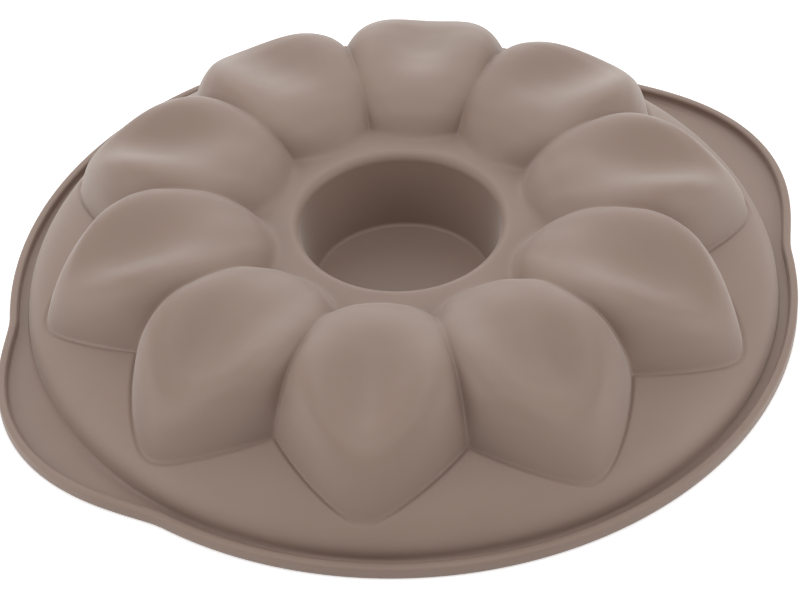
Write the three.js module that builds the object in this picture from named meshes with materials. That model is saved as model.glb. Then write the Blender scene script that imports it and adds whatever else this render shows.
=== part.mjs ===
// A flexible silicone mould for a ring-shaped mousse, standing on its rim with its flower upwards.
// The mould is one moulded skin: a domed ring of petals round a blind well, a flat flange,
// and a bead along the flange's edge that runs out round two finger tabs.
// A spring-steel hoop snaps into a groove under the bead and keeps the soft rim round and flat.
// Millimetres, +Z up, origin on the axis in the plane that the rim stands on, tabs along X.
import * as THREE from "three";

// Driving dimensions: skin and flange
const WALL = 2.2;
const FLANGE_THICKNESS = 1.6;

// Driving dimensions: flange edge, finger tabs and bead
const FLANGE_RADIUS = 135;
const TAB_REACH = 12;
const TAB_HALF_ANGLE = THREE.MathUtils.degToRad(24.5);
const TAB_SHAPE = 1.5;
const BEAD_WIDTH = 3;
const BEAD_HEIGHT = 4.4;
const BEAD_EDGE_RADIUS = 1;

// Driving dimensions: stiffening hoop and the groove that holds it
const HOOP_WIRE_RADIUS = 0.55;
const HOOP_CLEARANCE = 0.3;
const HOOP_HEIGHT = 1.5;
const GROOVE_MOUTH_HALF_WIDTH = 0.4;

// Driving dimensions: dome, a flattened curve turned about the axis, inside a channel along the bead
const DOME_HEIGHT = 34.8;
const DOME_SPREAD = 1.6;
const DOME_FULLNESS = 0.42;
const CHANNEL_WIDTH = 3.5;
const DOME_FOOT_RADIUS = FLANGE_RADIUS - BEAD_WIDTH - CHANNEL_WIDTH;

// Driving dimensions: well in the middle, closed by a floor
const WELL_MOUTH_RADIUS = 34.2;
const WELL_DRAFT = 3.4;
const WELL_FLOOR_RADIUS = WELL_MOUTH_RADIUS - WELL_DRAFT;
const WELL_FLOOR_HEIGHT = 4;
const WELL_LIP_RADIUS = 3.2;
const WELL_CORNER_RADIUS = 1.5;

// Driving dimensions: plan of a petal, from a collar round the well to a point near the foot of the dome
const PETAL_COUNT = 10;
const COLLAR_WIDTH = 8.6;
const NOSE_DEPTH = 6.8;
const TIP_MARGIN = 6;
const TIP_LENGTH = 22.1;
const TIP_ROUNDING = 0.2;
const SPINE_START_RADIUS = WELL_MOUTH_RADIUS + COLLAR_WIDTH;
const VALLEY_START_RADIUS = SPINE_START_RADIUS + NOSE_DEPTH;
const SPINE_TIP_RADIUS = DOME_FOOT_RADIUS - TIP_MARGIN;
const VALLEY_END_RADIUS = SPINE_TIP_RADIUS - TIP_LENGTH;

// Driving dimensions: how high a petal's spine, shoulders and valleys stand above the dome at their tops,
// and how the three lines rise and fall on their way outwards
const SPINE_RISE = 15.6;
const SHOULDER_RISE = 20.7;
const VALLEY_RISE = 14.2;
const SHOULDER_PLACE = 0.78;
const SHOULDER_BEND = 1.3;
const SHOULDER_MIDDLE = 0.53;
const FLANK_POWER = 2;
const STATIONS = [0, 0.05, 0.14, 0.27, 0.41, 0.55, 0.68, 0.8, 0.9, 0.96, 1];
const SPINE_LINE = [0, 0.397, 0.744, 0.974, 1, 0.91, 0.878, 0.872, 0.667, 0.372, 0];
const SHOULDER_LINE = [0, 0.275, 0.517, 0.71, 0.841, 0.947, 1, 0.952, 0.734, 0.425, 0];
const VALLEY_LINE = [0, 0.183, 0.479, 0.718, 0.852, 0.944, 1, 0.972, 0.761, 0.437, 0];

// Fineness of the faceted surface: where its columns lie between a valley and a spine, and its rows
const ACROSS_STEPS = [1, 0.93, 0.82, 0.64, 0.36, 0];
const PETAL_ROWS = 10;
const DOME_ROWS = 3;
const LIP_ROWS = 3;
const GROOVE_ROWS = 4;
const HOOP_SIDES = 6;

const HALF_PETAL_COLUMNS = ACROSS_STEPS.length - 1;
const COLUMNS = PETAL_COUNT * 2 * HALF_PETAL_COLUMNS;
const SILICONE = new THREE.MeshStandardMaterial({ color: 0x94826f, roughness: 0.55, metalness: 0 });
const SPRING_STEEL = new THREE.MeshStandardMaterial({ color: 0xb9bcc0, roughness: 0.3, metalness: 1 });

// Where an angle lies on its petal: 0 on the spine, 1 in the valley beside it. A valley points along X.
function acrossPetal(angle) {
  const turn = (angle / (2 * Math.PI)) * PETAL_COUNT;
  return Math.abs(turn - Math.floor(turn) - 0.5) * 2;
}

// Height of the plain dome at a radius.
function domeHeight(radius) {
  const share = Math.min(1, radius / DOME_FOOT_RADIUS);
  return FLANGE_THICKNESS + (DOME_HEIGHT - FLANGE_THICKNESS) * (1 - share ** DOME_SPREAD) ** DOME_FULLNESS;
}

// Plan outline of a petal: its blunt end by the well and its rounded point by the foot of the dome.
function petalStart(across) {
  return SPINE_START_RADIUS + (VALLEY_START_RADIUS - SPINE_START_RADIUS) * across * across;
}

function petalEnd(across) {
  const round = (share) => Math.hypot(share, TIP_ROUNDING) - TIP_ROUNDING;
  return SPINE_TIP_RADIUS - (SPINE_TIP_RADIUS - VALLEY_END_RADIUS) * (round(across) / round(1));
}

// Height of one of a petal's lines as a share of its top, smooth through the stations.
function lineHeight(line, along) {
  const slopes = line.slice(1).map((y, i) => (y - line[i]) / (STATIONS[i + 1] - STATIONS[i]));
  const tangent = (i) => {
    if (i === 0 || i === slopes.length) {
      const own = slopes[Math.min(i, slopes.length - 1)];
      return 2 * own - tangent(i === 0 ? 1 : i - 1);
    }
    const before = STATIONS[i] - STATIONS[i - 1];
    const after = STATIONS[i + 1] - STATIONS[i];
    return (slopes[i - 1] * after + slopes[i] * before) / (before + after);
  };
  const i = Math.max(0, Math.min(STATIONS.findLastIndex((station) => station <= along), slopes.length - 1));
  const step = STATIONS[i + 1] - STATIONS[i];
  const t = (along - STATIONS[i]) / step;
  return (
    (1 + 2 * t) * (1 - t) ** 2 * line[i] +
    t * (1 - t) ** 2 * step * tangent(i) +
    t * t * (3 - 2 * t) * line[i + 1] -
    t * t * (1 - t) * step * tangent(i + 1)
  );
}

// How far a petal stands above the dome: two shoulders, steep flanks and a dish between the shoulders.
function petalRise(along, across) {
  const spine = SPINE_RISE * lineHeight(SPINE_LINE, along);
  const shoulder = SHOULDER_RISE * lineHeight(SHOULDER_LINE, along);
  const valley = VALLEY_RISE * lineHeight(VALLEY_LINE, along);
  const place = SHOULDER_PLACE - SHOULDER_BEND * (along - SHOULDER_MIDDLE) ** 2;
  const inward = Math.max(0, 1 - across / place);
  const outward = Math.max(0, (across - place) / (1 - place));
  const dish = (shoulder - spine) * inward * inward * (3 - 2 * inward);
  return shoulder - dish - (shoulder - valley) * outward ** FLANK_POWER;
}

// The flange's edge: round, with a smooth finger tab at each end of the X axis.
function flangeEdge(angle) {
  const fromTab = Math.abs(((angle + Math.PI / 2) % Math.PI) - Math.PI / 2) / TAB_HALF_ANGLE;
  const tab = fromTab < 1 ? (1 - fromTab * fromTab) ** TAB_SHAPE : 0;
  return FLANGE_RADIUS + TAB_REACH * tab;
}

// How much longer a radial cut through the bead is than a square one, where the edge slants.
function slant(angle) {
  const step = 1e-4;
  const slope = (flangeEdge(angle + step) - flangeEdge(angle - step + 2 * Math.PI)) / (2 * step);
  return Math.hypot(1, slope / flangeEdge(angle));
}

const at = (radius, height) => new THREE.Vector2(radius, height);

// An arc as points, both ends included.
function arc(centre, radius, from, to, steps, stretch = 1) {
  return Array.from({ length: steps + 1 }, (_, i) => {
    const turn = from + ((to - from) * i) / steps;
    return at(centre.x + stretch * radius * Math.cos(turn), centre.y + radius * Math.sin(turn));
  });
}

// The side that shows, from the middle of the well's floor out to the foot of the dome.
function topSkin(angle) {
  const across = acrossPetal(angle);
  const corner = at(WELL_FLOOR_RADIUS - WELL_CORNER_RADIUS, WELL_FLOOR_HEIGHT + WELL_CORNER_RADIUS);
  const lipOuter = WELL_MOUTH_RADIUS + WELL_LIP_RADIUS;
  const lip = at(lipOuter, domeHeight(lipOuter) - WELL_LIP_RADIUS);
  const rows = [
    at(0, WELL_FLOOR_HEIGHT),
    ...arc(corner, WELL_CORNER_RADIUS, -Math.PI / 2, 0, 2),
    ...arc(lip, WELL_LIP_RADIUS, Math.PI, Math.PI / 2, LIP_ROWS),
  ];
  const start = petalStart(across);
  const end = petalEnd(across);
  for (let i = 0; i <= PETAL_ROWS; i++) {
    const along = (1 - Math.cos((Math.PI * i) / PETAL_ROWS)) / 2;
    const radius = start + (end - start) * along;
    rows.push(at(radius, domeHeight(radius) + petalRise(along, across)));
  }
  const endTurn = Math.acos(end / DOME_FOOT_RADIUS);
  for (let i = 1; i <= DOME_ROWS; i++) {
    const radius = DOME_FOOT_RADIUS * Math.cos(endTurn * (1 - i / DOME_ROWS));
    rows.push(at(radius, domeHeight(radius)));
  }
  return rows;
}

// The flange and its bead, from the foot of the dome over the edge to the mouth of the cavity underneath.
function flangeSkin(angle) {
  const stretch = slant(angle);
  const edge = flangeEdge(angle);
  const inside = edge - BEAD_WIDTH * stretch;
  const middle = at(edge - (BEAD_WIDTH / 2) * stretch, HOOP_HEIGHT);
  const shoulder = BEAD_HEIGHT - BEAD_EDGE_RADIUS;
  const rounding = BEAD_EDGE_RADIUS * stretch;
  const groove = HOOP_WIRE_RADIUS + HOOP_CLEARANCE;
  const mouth = Math.acos(GROOVE_MOUTH_HALF_WIDTH / groove);
  return [
    at(inside, FLANGE_THICKNESS),
    ...arc(at(inside + rounding, shoulder), BEAD_EDGE_RADIUS, Math.PI, Math.PI / 2, 2, stretch),
    ...arc(at(edge - rounding, shoulder), BEAD_EDGE_RADIUS, Math.PI / 2, 0, 2, stretch),
    at(edge, 0),
    at(middle.x + GROOVE_MOUTH_HALF_WIDTH * stretch, 0),
    ...arc(middle, groove, -mouth, Math.PI + mouth, GROOVE_ROWS, stretch),
    at(middle.x - GROOVE_MOUTH_HALF_WIDTH * stretch, 0),
    at(DOME_FOOT_RADIUS - WALL, 0),
  ];
}

// The angle of a column: columns crowd into the valleys, where the surface turns sharply.
function columnAngle(column) {
  const petal = Math.floor(column / (2 * HALF_PETAL_COLUMNS)) % PETAL_COUNT;
  const step = (column % (2 * HALF_PETAL_COLUMNS)) - HALF_PETAL_COLUMNS;
  const across = ACROSS_STEPS[HALF_PETAL_COLUMNS - Math.abs(step)];
  return (2 * Math.PI * (petal + (1 + Math.sign(step) * across) / 2)) / PETAL_COUNT;
}

const onColumn = (point, column) =>
  new THREE.Vector3(point.x, 0, point.y).applyAxisAngle(new THREE.Vector3(0, 0, 1), columnAngle(column));

// The cavity side: every point of the top skin moved one wall thickness along the surface normal.
function cavitySkin(top, column) {
  const left = top[(column + COLUMNS - 1) % COLUMNS];
  const right = top[(column + 1) % COLUMNS];
  const own = top[column];
  return own.map((point, row) => {
    if (row === 0) return new THREE.Vector3(0, 0, point.z - WALL);
    if (row === own.length - 1) return footInside(column);
    const outward = own[row + 1].clone().sub(own[row - 1]);
    const around = right[row].clone().sub(left[row]);
    return point.clone().addScaledVector(outward.cross(around).normalize(), -WALL);
  });
}

const footInside = (column) => onColumn(at(DOME_FOOT_RADIUS - WALL, FLANGE_THICKNESS), column);

// A lathe whose section changes with the angle: sections[column] holds the points of that column.
function turned(sections) {
  const rows = sections[0].length;
  const geometry = new THREE.LatheGeometry(new Array(rows).fill(at(1, 0)), COLUMNS);
  geometry.deleteAttribute("normal");
  geometry.deleteAttribute("uv");
  const position = geometry.getAttribute("position");
  for (let column = 0; column <= COLUMNS; column++) {
    sections[column % COLUMNS].forEach((point, row) => {
      position.setXYZ(column * rows + row, point.x, point.y, point.z);
    });
  }
  return geometry;
}

const columns = Array.from({ length: COLUMNS }, (_, column) => column);

function mouldBody() {
  const top = columns.map((column) => topSkin(columnAngle(column)).map((point) => onColumn(point, column)));
  const sections = columns.map((column) => [
    ...cavitySkin(top, column),
    ...flangeSkin(columnAngle(column)).map((point) => onColumn(point, column)).reverse(),
    ...top[column].toReversed(),
  ]);
  const mesh = new THREE.Mesh(turned(sections), SILICONE);
  mesh.name = "mould_body";
  return mesh;
}

function rimHoop() {
  const sections = columns.map((column) => {
    const angle = columnAngle(column);
    const stretch = slant(angle);
    const middle = at(flangeEdge(angle) - (BEAD_WIDTH / 2) * stretch, HOOP_HEIGHT);
    const ring = arc(middle, HOOP_WIRE_RADIUS, 0, 2 * Math.PI, HOOP_SIDES, stretch);
    return ring.map((point) => onColumn(point, column));
  });
  const mesh = new THREE.Mesh(turned(sections), SPRING_STEEL);
  mesh.name = "rim_hoop";
  return mesh;
}

const mould = new THREE.Group();
mould.add(mouldBody(), rimHoop());

export default mould;
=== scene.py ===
import math

import bmesh
import bpy
import numpy as np
from mathutils import Matrix, Vector


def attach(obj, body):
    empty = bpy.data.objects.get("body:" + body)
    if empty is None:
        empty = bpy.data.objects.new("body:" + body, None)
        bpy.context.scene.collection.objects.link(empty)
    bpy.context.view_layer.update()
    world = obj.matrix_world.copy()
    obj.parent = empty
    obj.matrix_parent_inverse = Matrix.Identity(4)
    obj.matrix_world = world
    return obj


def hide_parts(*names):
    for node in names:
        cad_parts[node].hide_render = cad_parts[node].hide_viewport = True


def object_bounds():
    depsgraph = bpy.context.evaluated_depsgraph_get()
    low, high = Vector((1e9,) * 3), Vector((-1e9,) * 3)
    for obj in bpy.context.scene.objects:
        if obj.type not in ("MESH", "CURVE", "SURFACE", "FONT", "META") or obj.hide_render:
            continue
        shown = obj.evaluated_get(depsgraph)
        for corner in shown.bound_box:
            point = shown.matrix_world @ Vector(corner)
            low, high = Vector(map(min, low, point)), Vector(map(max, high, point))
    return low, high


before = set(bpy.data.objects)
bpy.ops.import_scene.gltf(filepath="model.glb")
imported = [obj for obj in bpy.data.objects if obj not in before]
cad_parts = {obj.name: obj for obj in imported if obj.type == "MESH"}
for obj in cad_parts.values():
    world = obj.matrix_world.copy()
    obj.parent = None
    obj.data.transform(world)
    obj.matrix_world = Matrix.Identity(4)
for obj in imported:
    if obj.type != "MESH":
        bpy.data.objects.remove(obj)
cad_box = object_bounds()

MM = 0.001

# Sizes in millimetres. First the skin, the dome and the well.
WALL = 2.2
FLANGE = 1.6
FOOT_RADIUS = 128.5
DOME_HEIGHT = 34.8
DOME_SPREAD, DOME_FULLNESS = 1.6, 0.42
FLOOR_RADIUS = 30.8
FLOOR_HEIGHT = 4.0
MOUTH_RADIUS = 34.2
LIP_RADIUS = 3.2
CORNER_RADIUS = 1.5

# The petals: where spine and valley start and end, and the rise of three lines that run out along each petal.
PETALS = 10
SPINE_START, SPINE_TIP = 42.8, 122.5
VALLEY_START, VALLEY_END = 49.6, 100.4
TIP_ROUNDING = 0.2
SHOULDER_PLACE, SHOULDER_BEND, SHOULDER_MIDDLE = 0.66, 0.9, 0.58
FLANK_POWER = 2.6
STATIONS = (0.0, 0.05, 0.14, 0.27, 0.41, 0.55, 0.68, 0.80, 0.90, 0.96, 1.0)
SPINE_RISE = (0.0, 5.4, 10.4, 13.8, 13.4, 12.2, 12.5, 13.4, 11.8, 7.2, 0.0)
SHOULDER_RISE = (0.0, 5.2, 9.8, 13.4, 16.1, 18.5, 19.6, 18.7, 15.2, 9.0, 0.0)
VALLEY_RISE = (0.0, 2.9, 7.4, 11.5, 13.7, 14.7, 14.8, 12.6, 8.0, 4.1, 0.0)
OUTLINE_DEPTH, OUTLINE_WIDTH = 0.8, 1.7
CREASE_WIDTH = 0.7

# The flange with its two tabs, and the bead with the groove that holds the hoop.
FLANGE_RADIUS = 135.0
TAB_REACH = 12.0
TAB_HALF_ANGLE = math.radians(24.5)
TAB_SHAPE = 1.5
BEAD_WIDTH = 3.0
BEAD_HEIGHT = 4.4
BEAD_EDGE = 1.0
BEAD_SIDE = 1.54
BEAD_CHAMFER = 0.35
HOOP_WIRE = 0.55
HOOP_CLEARANCE = 0.3
HOOP_HEIGHT = 1.5
GROOVE_MOUTH = 0.4

# Fineness: columns round the axis, and steps along each stretch of the section.
COLUMNS = 400
VALLEY_CROWDING, END_CROWDING, SKIRT_CROWDING = 0.55, 0.6, 1.6
FLOOR_STEPS, WELL_STEPS, COLLAR_STEPS, PETAL_STEPS, SKIRT_STEPS, FLANGE_STEPS = 7, 8, 8, 72, 24, 6
CORNER_STEPS, LIP_STEPS, EDGE_STEPS, GROOVE_STEPS, WIRE_STEPS = 5, 11, 5, 8, 14
CAVITY_EVERY = 4
NOSE_REACH, NOSE_TURNS, NOSE_LEAD = 5, 8, 4
SMALL_TURN = 1e-4
MERGE_DISTANCE, SLIVER_LENGTH = 1e-6, 1e-7

# The view: turned and raised round the mould, slightly rolled, at a distance in flange radii.
VIEW_TURN = -28.53
RISE = math.radians(42.16)
ROLL = math.radians(2.51)
DISTANCE = 8.597
ASIDE, ABOVE = -0.00891, -0.02063
SENSOR_WIDTH, LENS = 36.0, 151.722

# The studio, in metres. Each lamp has its place as the camera sees it, its width and its watts.
FLOOR_SIZE, FLOOR_GAP = 6.0, 0.0002
FLOOR_GLOW = 0.45
WORLD_LEVEL, WORLD_WHITE = 0.49, 1.05
LAMP_AIM = Vector((0, 0, 0.03))
LAMPS = {
    "top": ((0.0, 0.0, 1.5), 1.0, 4.5),
    "back": ((0.0, 1.35, 0.85), 1.8, 9.5),
    "left": ((-1.35, -0.35, 0.6), 1.0, 6.6),
    "right": ((1.35, -0.35, 0.6), 1.0, 6.2),
}


def crowded(turn, amount):
    """Draw evenly spaced values together round each whole number."""
    return turn - amount * np.sin(2 * math.pi * turn) / (2 * math.pi)


def column_angles():
    """Angles round the axis, closer together in the valleys between petals."""
    turn = np.arange(COLUMNS) / COLUMNS * PETALS
    return crowded(turn, VALLEY_CROWDING) * 2 * math.pi / PETALS


def across_petal(angles):
    """0 on a petal's spine and 1 in the valley beside it."""
    turn = angles / (2 * math.pi) * PETALS
    return np.abs(turn - np.floor(turn) - 0.5) * 2


def flange_edge(angles):
    """Radius of the outer edge, which reaches out at the two tabs."""
    from_tab = np.abs((angles + math.pi / 2) % math.pi - math.pi / 2) / TAB_HALF_ANGLE
    tab = np.maximum(0.0, 1 - from_tab ** 2) ** TAB_SHAPE
    return FLANGE_RADIUS + TAB_REACH * tab


def edge_slant(angles):
    """How much longer a width across the bead is along the radius, where the edge runs out to a tab."""
    change = flange_edge(angles + SMALL_TURN) - flange_edge(angles - SMALL_TURN)
    return np.hypot(1, change / (2 * SMALL_TURN) / flange_edge(angles))


ANGLES = column_angles()
ACROSS = across_petal(ANGLES)
EDGE = flange_edge(ANGLES)
SLANT = edge_slant(ANGLES)


def dome(radius):
    share = np.minimum(1.0, radius / FOOT_RADIUS)
    return FLANGE + (DOME_HEIGHT - FLANGE) * (1 - share ** DOME_SPREAD) ** DOME_FULLNESS


def petal_start():
    return SPINE_START + (VALLEY_START - SPINE_START) * ACROSS ** 2


def petal_end():
    def rounded(share):
        return np.hypot(share, TIP_ROUNDING) - TIP_ROUNDING
    return SPINE_TIP - (SPINE_TIP - VALLEY_END) * rounded(ACROSS) / rounded(1.0)


def rise_line(rises, along):
    """Height of one of the petal's lines, smooth through its stations."""
    x, y = np.array(STATIONS), np.array(rises)
    step, slope = np.diff(x), np.diff(y) / np.diff(x)
    inner = (slope[:-1] * step[1:] + slope[1:] * step[:-1]) / (step[:-1] + step[1:])
    tangent = np.concatenate([slope[:1] * 2 - inner[:1], inner, slope[-1:] * 2 - inner[-1:]])
    i = min(int(np.searchsorted(x, along, side="right")) - 1, len(step) - 1)
    t = (along - x[i]) / step[i]
    return ((1 + 2 * t) * (1 - t) ** 2 * y[i] + t * (1 - t) ** 2 * step[i] * tangent[i]
            + t * t * (3 - 2 * t) * y[i + 1] - t * t * (1 - t) * step[i] * tangent[i + 1])


def petal_rise(along):
    """Height of a petal above the dome: two shoulders, steep flanks and a dish between the shoulders."""
    spine, shoulder, valley = (rise_line(rises, along) for rises in (SPINE_RISE, SHOULDER_RISE, VALLEY_RISE))
    place = SHOULDER_PLACE - SHOULDER_BEND * (along - SHOULDER_MIDDLE) ** 2
    inward = np.clip(1 - ACROSS / place, 0, 1)
    outward = np.clip((ACROSS - place) / (1 - place), 0, 1)
    dish = (shoulder - spine) * inward ** 2 * (3 - 2 * inward)
    return shoulder - dish - (shoulder - valley) * outward ** FLANK_POWER


def row(radius, height):
    """One row of the section, the same at every angle unless an array is given."""
    return np.stack([np.broadcast_to(radius, COLUMNS), np.broadcast_to(height, COLUMNS)], axis=-1).astype(float)


def arc(x, z, radius, start, end, steps, stretch=1.0):
    """Rows along an arc of the section, both ends included."""
    turns = np.radians(start + (end - start) * np.arange(steps + 1) / steps)
    return [row(x + stretch * radius * math.cos(turn), z + radius * math.sin(turn)) for turn in turns]


def straight(a, b, steps):
    """Rows between two rows, both left out."""
    return [a + (b - a) * i / steps for i in range(1, steps)]


def soften_row(rows, middle):
    """Round the crease along the row where the petals rise from the collar."""
    for _ in range(NOSE_TURNS):
        new = rows.copy()
        for i in range(middle - NOSE_REACH, middle + NOSE_REACH + 1):
            ease = 0.5 * (1 - abs(i - middle) / (NOSE_REACH + 1))
            new[i] = rows[i] * (1 - ease) + (rows[i - 1] + rows[i + 1]) * ease / 2
        rows = new
    return rows


def soften_round(rows):
    """Round the creases that run outwards, by an even width at every radius."""
    order = np.fft.rfftfreq(COLUMNS, 1 / COLUMNS)
    radius = rows[..., 0].mean(axis=1, keepdims=True)
    keep = np.exp(-0.5 * (order * CREASE_WIDTH / radius) ** 2)
    return np.fft.irfft(np.fft.rfft(rows, axis=1) * keep[..., None], COLUMNS, axis=1)


def near_outline(distance):
    """1 on a petal's outline, falling smoothly to 0 beside it."""
    return 0.5 + 0.5 * np.cos(np.clip(distance / OUTLINE_WIDTH, 0, 1) * math.pi)


def top_skin(outline):
    """Rows from the middle of the well's floor to the dome's foot; the petals' outlines are pressed in."""
    lip_outer = MOUTH_RADIUS + LIP_RADIUS
    lip_z = float(dome(lip_outer)) - LIP_RADIUS
    corner = FLOOR_RADIUS - CORNER_RADIUS
    rows = [row(0, FLOOR_HEIGHT)]
    rows += straight(rows[0], row(corner, FLOOR_HEIGHT), FLOOR_STEPS)
    rows += arc(corner, FLOOR_HEIGHT + CORNER_RADIUS, CORNER_RADIUS, -90, 0, CORNER_STEPS)
    lip = arc(lip_outer, lip_z, LIP_RADIUS, 180, 90, LIP_STEPS)
    rows += straight(rows[-1], lip[0], WELL_STEPS) + lip

    start, end = petal_start(), petal_end()
    for i in range(1, COLLAR_STEPS):
        radius = lip_outer + (start - lip_outer) * i / COLLAR_STEPS
        rows.append(row(radius, dome(radius)))
    nose = len(rows)
    for i in range(PETAL_STEPS + 1):
        along = crowded(i / PETAL_STEPS, END_CROWDING)
        radius = start + (end - start) * along
        pressed = outline * near_outline(end - radius)
        rows.append(row(radius, dome(radius) + petal_rise(along) - pressed))
    steepness = np.arccos(end / FOOT_RADIUS)
    for i in range(1, SKIRT_STEPS + 1):
        radius = FOOT_RADIUS * np.cos(steepness * (1 - (i / SKIRT_STEPS) ** SKIRT_CROWDING))
        pressed = outline * near_outline(radius - end)
        rows.append(row(radius, dome(radius) - pressed))

    rows = soften_row(np.array(rows), nose)
    rows[nose - NOSE_LEAD:] = soften_round(rows[nose - NOSE_LEAD:])
    return rows


def flange_rows():
    """Flange, bead and groove, from the foot of the dome round the edge to the cavity's mouth."""
    inside = EDGE - BEAD_WIDTH * SLANT
    middle = EDGE - BEAD_WIDTH / 2 * SLANT
    shoulder = BEAD_HEIGHT - BEAD_EDGE
    edge = BEAD_EDGE * SLANT
    groove = HOOP_WIRE + HOOP_CLEARANCE
    mouth = math.degrees(math.acos(GROOVE_MOUTH / groove))
    rows = straight(row(FOOT_RADIUS, FLANGE), row(inside, FLANGE), FLANGE_STEPS)
    rows.append(row(inside, FLANGE))
    rows += arc(inside + edge, shoulder, BEAD_EDGE, 180, 90, EDGE_STEPS, SLANT)
    rows += arc(EDGE - edge, shoulder, BEAD_EDGE, 90, 0, EDGE_STEPS, SLANT)
    rows += [row(EDGE, BEAD_SIDE), row(EDGE, BEAD_CHAMFER), row(EDGE - BEAD_CHAMFER, 0)]
    rows.append(row(middle + GROOVE_MOUTH * SLANT, 0))
    rows += arc(middle, HOOP_HEIGHT, groove, -mouth, 180 + mouth, GROOVE_STEPS, SLANT)
    rows.append(row(middle - GROOVE_MOUTH * SLANT, 0))
    rows.append(row(FOOT_RADIUS - WALL, 0))
    rows.append(row(FOOT_RADIUS - WALL, FLANGE))
    return rows


def to_points(rows):
    """Section rows (radius, height) to points in space."""
    rows = np.asarray(rows)
    return np.stack([rows[..., 0] * np.cos(ANGLES), rows[..., 0] * np.sin(ANGLES), rows[..., 1]], axis=-1)


def cavity_points():
    """The other side of the wall, one thickness in along the normal, on some of the rows of the plain top."""
    points = to_points(top_skin(0.0))
    outwards = np.gradient(points, axis=0)
    sideways = (np.roll(points, -1, axis=1) - np.roll(points, 1, axis=1)) / 2
    normal = np.cross(outwards, sideways)
    normal[0] = (0, 0, 1)
    normal /= np.linalg.norm(normal, axis=2, keepdims=True)
    return (points - WALL * normal)[:-2:CAVITY_EVERY]


def skin_points():
    """The whole section: over the top, round the edge and back along the cavity."""
    outside = to_points(np.concatenate([top_skin(OUTLINE_DEPTH), flange_rows()]))
    return np.concatenate([outside, cavity_points()[::-1]])


def wire_points():
    return to_points(arc(EDGE - BEAD_WIDTH / 2 * SLANT, HOOP_HEIGHT, HOOP_WIRE, 0, 360, WIRE_STEPS, SLANT))


def turned(name, points):
    """Spin a line of points round the axis, then move each one to its place in the section."""
    bm = bmesh.new()
    profile = [bm.verts.new((1, 0, i)) for i in range(len(points))]
    edges = [bm.edges.new(pair) for pair in zip(profile, profile[1:])]
    bmesh.ops.spin(bm, geom=profile + edges, cent=(0, 0, 0), axis=(0, 0, 1), dvec=(0, 0, 0),
                   angle=2 * math.pi, steps=COLUMNS, use_merge=True)
    for vert in bm.verts:
        column = round(math.atan2(vert.co.y, vert.co.x) / (2 * math.pi) * COLUMNS) % COLUMNS
        vert.co = Vector(points[round(vert.co.z)][column]) * MM
    bmesh.ops.remove_doubles(bm, verts=bm.verts, dist=MERGE_DISTANCE)
    bmesh.ops.dissolve_degenerate(bm, dist=SLIVER_LENGTH, edges=bm.edges)
    bmesh.ops.recalc_face_normals(bm, faces=bm.faces)
    for face in bm.faces:
        face.smooth = True
    return finished(name, bm)


def finished(name, bm):
    """The object that holds a bmesh."""
    mesh = bpy.data.meshes.new(name)
    bm.to_mesh(mesh)
    bm.free()
    piece = bpy.data.objects.new(name, mesh)
    bpy.context.collection.objects.link(piece)
    return piece


def node(tree, kind, **inputs):
    made = tree.nodes.new(kind)
    set_sockets(made, {key.replace("_", " "): value for key, value in inputs.items()})
    return made


def set_sockets(made, values):
    for socket, value in values.items():
        made.inputs[socket].default_value = value


def noise(tree, place, scale, detail, roughness):
    made = node(tree, "ShaderNodeTexNoise", Scale=scale, Detail=detail, Roughness=roughness)
    tree.links.new(place, made.inputs["Vector"])
    return made.outputs["Fac"]


def larger(tree, first, second):
    made = tree.nodes.new("ShaderNodeMath")
    made.operation = "MAXIMUM"
    tree.links.new(first, made.inputs[0])
    tree.links.new(second, made.inputs[1])
    return made.outputs[0]


def spread(tree, value, low, high):
    """A value from 0 to 1 spread over a range."""
    made = node(tree, "ShaderNodeMapRange", To_Min=low, To_Max=high)
    tree.links.new(value, made.inputs["Value"])
    return made.outputs["Result"]


def new_finish(name):
    material = bpy.data.materials.new(name)
    material.use_nodes = True
    tree = material.node_tree
    place = tree.nodes.new("ShaderNodeTexCoord").outputs["Object"]
    return material, tree, tree.nodes["Principled BSDF"], place


def satin_silicone():
    """Taupe silicone, faintly clouded, with a fine moulded grain and a pale sheen at grazing angles."""
    material, tree, shader, place = new_finish("satin_silicone")
    tint = tree.nodes.new("ShaderNodeValToRGB")
    dark, light = tint.color_ramp.elements
    dark.position, dark.color = 0.3, (0.238, 0.164, 0.127, 1)
    light.position, light.color = 0.7, (0.258, 0.179, 0.140, 1)
    tree.links.new(noise(tree, place, 22.0, 3.0, 0.55), tint.inputs["Fac"])
    tree.links.new(tint.outputs["Color"], shader.inputs["Base Color"])

    haze = noise(tree, place, 60.0, 4.0, 0.6)
    tree.links.new(spread(tree, haze, 0.50, 0.60), shader.inputs["Roughness"])

    bump = node(tree, "ShaderNodeBump", Strength=0.12, Distance=0.0002)
    tree.links.new(noise(tree, place, 2600.0, 2.0, 0.5), bump.inputs["Height"])
    tree.links.new(bump.outputs["Normal"], shader.inputs["Normal"])

    set_sockets(shader, {
        "Specular IOR Level": 0.55,
        "Sheen Weight": 0.3,
        "Sheen Roughness": 0.4,
        "Subsurface Weight": 0.06,
        "Subsurface Radius": (1.0, 0.7, 0.5),
        "Subsurface Scale": 0.0015,
    })
    return material


def spring_steel():
    """Drawn wire, unevenly bright."""
    material, tree, shader, place = new_finish("spring_steel")
    drawn = noise(tree, place, 900.0, 3.0, 0.5)
    tree.links.new(spread(tree, drawn, 0.24, 0.4), shader.inputs["Roughness"])
    set_sockets(shader, {"Base Color": (0.62, 0.63, 0.65, 1), "Metallic": 1.0})
    return material


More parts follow.
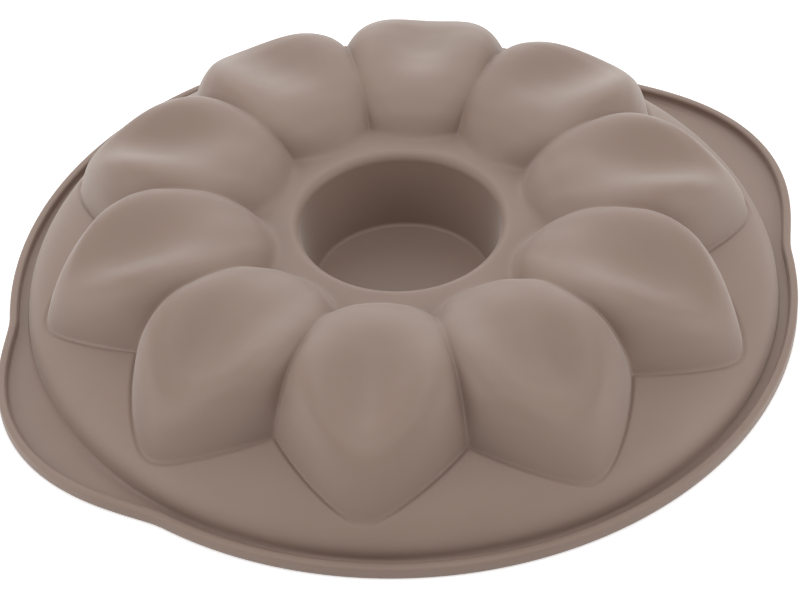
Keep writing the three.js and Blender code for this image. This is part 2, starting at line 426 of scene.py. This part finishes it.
def pale_floor():
    """A white that keeps the mould's shadow and glows a little where the camera or a reflection sees it."""
    material = bpy.data.materials.new("pale_floor")
    material.use_nodes = True
    tree = material.node_tree
    tree.nodes.clear()
    out = tree.nodes.new("ShaderNodeOutputMaterial")
    plain = node(tree, "ShaderNodeBsdfDiffuse", Color=(0.9, 0.9, 0.9, 1))
    glow = node(tree, "ShaderNodeEmission", Color=(1, 1, 1, 1))
    path = tree.nodes.new("ShaderNodeLightPath").outputs
    seen = larger(tree, path["Is Camera Ray"], path["Is Glossy Ray"])
    tree.links.new(spread(tree, seen, 0.0, FLOOR_GLOW), glow.inputs["Strength"])
    both = tree.nodes.new("ShaderNodeAddShader")
    tree.links.new(plain.outputs[0], both.inputs[0])
    tree.links.new(glow.outputs[0], both.inputs[1])
    tree.links.new(both.outputs[0], out.inputs["Surface"])
    return material


def floor():
    bm = bmesh.new()
    bmesh.ops.create_grid(bm, x_segments=2, y_segments=2, size=FLOOR_SIZE)
    ground = finished("floor", bm)
    ground.location.z = cad_box[0][2] - FLOOR_GAP
    ground.data.materials.append(pale_floor())


def white_surroundings():
    """A world that looks white, and lights the mould at a plain level."""
    world = bpy.data.worlds.new("studio")
    bpy.context.scene.world = world
    world.use_nodes = True
    tree = world.node_tree
    back = tree.nodes["Background"]
    back.inputs["Color"].default_value = (1, 1, 1, 1)
    path = tree.nodes.new("ShaderNodeLightPath").outputs
    seen = larger(tree, path["Is Camera Ray"], path["Is Transmission Ray"])
    seen = larger(tree, seen, path["Is Glossy Ray"])
    tree.links.new(spread(tree, seen, WORLD_LEVEL, WORLD_WHITE), back.inputs["Strength"])


def lamps():
    turn = Matrix.Rotation(math.radians(VIEW_TURN), 3, "Z")
    for name, (place, size, power) in LAMPS.items():
        data = bpy.data.lights.new(name, "AREA")
        data.shape = "DISK"
        data.size = size
        data.energy = power
        light = bpy.data.objects.new(name, data)
        light.location = turn @ Vector(place)
        light.rotation_euler = (LAMP_AIM - light.location).to_track_quat("-Z", "Y").to_euler()
        bpy.context.collection.objects.link(light)


def camera():
    data = bpy.data.cameras.new("camera")
    data.sensor_fit = "HORIZONTAL"
    data.sensor_width = SENSOR_WIDTH
    data.lens = LENS
    data.clip_start, data.clip_end = 0.05, 50.0
    eye = bpy.data.objects.new("camera", data)
    right = Vector((1, 0, 0))
    up = Vector((0, math.sin(RISE), math.cos(RISE)))
    back = Vector((0, -math.cos(RISE), math.sin(RISE)))
    spot = (right * ASIDE + up * ABOVE + back * DISTANCE) * FLANGE_RADIUS * MM
    side = right * math.cos(ROLL) - up * math.sin(ROLL)
    head = right * math.sin(ROLL) + up * math.cos(ROLL)
    facing = Matrix((side, head, back)).transposed().to_4x4()
    eye.matrix_world = Matrix.Rotation(math.radians(VIEW_TURN), 4, "Z") @ Matrix.Translation(spot) @ facing
    bpy.context.collection.objects.link(eye)
    bpy.context.scene.camera = eye


mould = turned("mould_skin", skin_points())
mould.data.materials.append(satin_silicone())
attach(mould, "root")
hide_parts("mould_body")

hoop = turned("rim_wire", wire_points())
hoop.data.materials.append(spring_steel())
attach(hoop, "root")
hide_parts("rim_hoop")

camera()
floor()
white_surroundings()
lamps()
bpy.context.scene.view_settings.view_transform = "Standard"
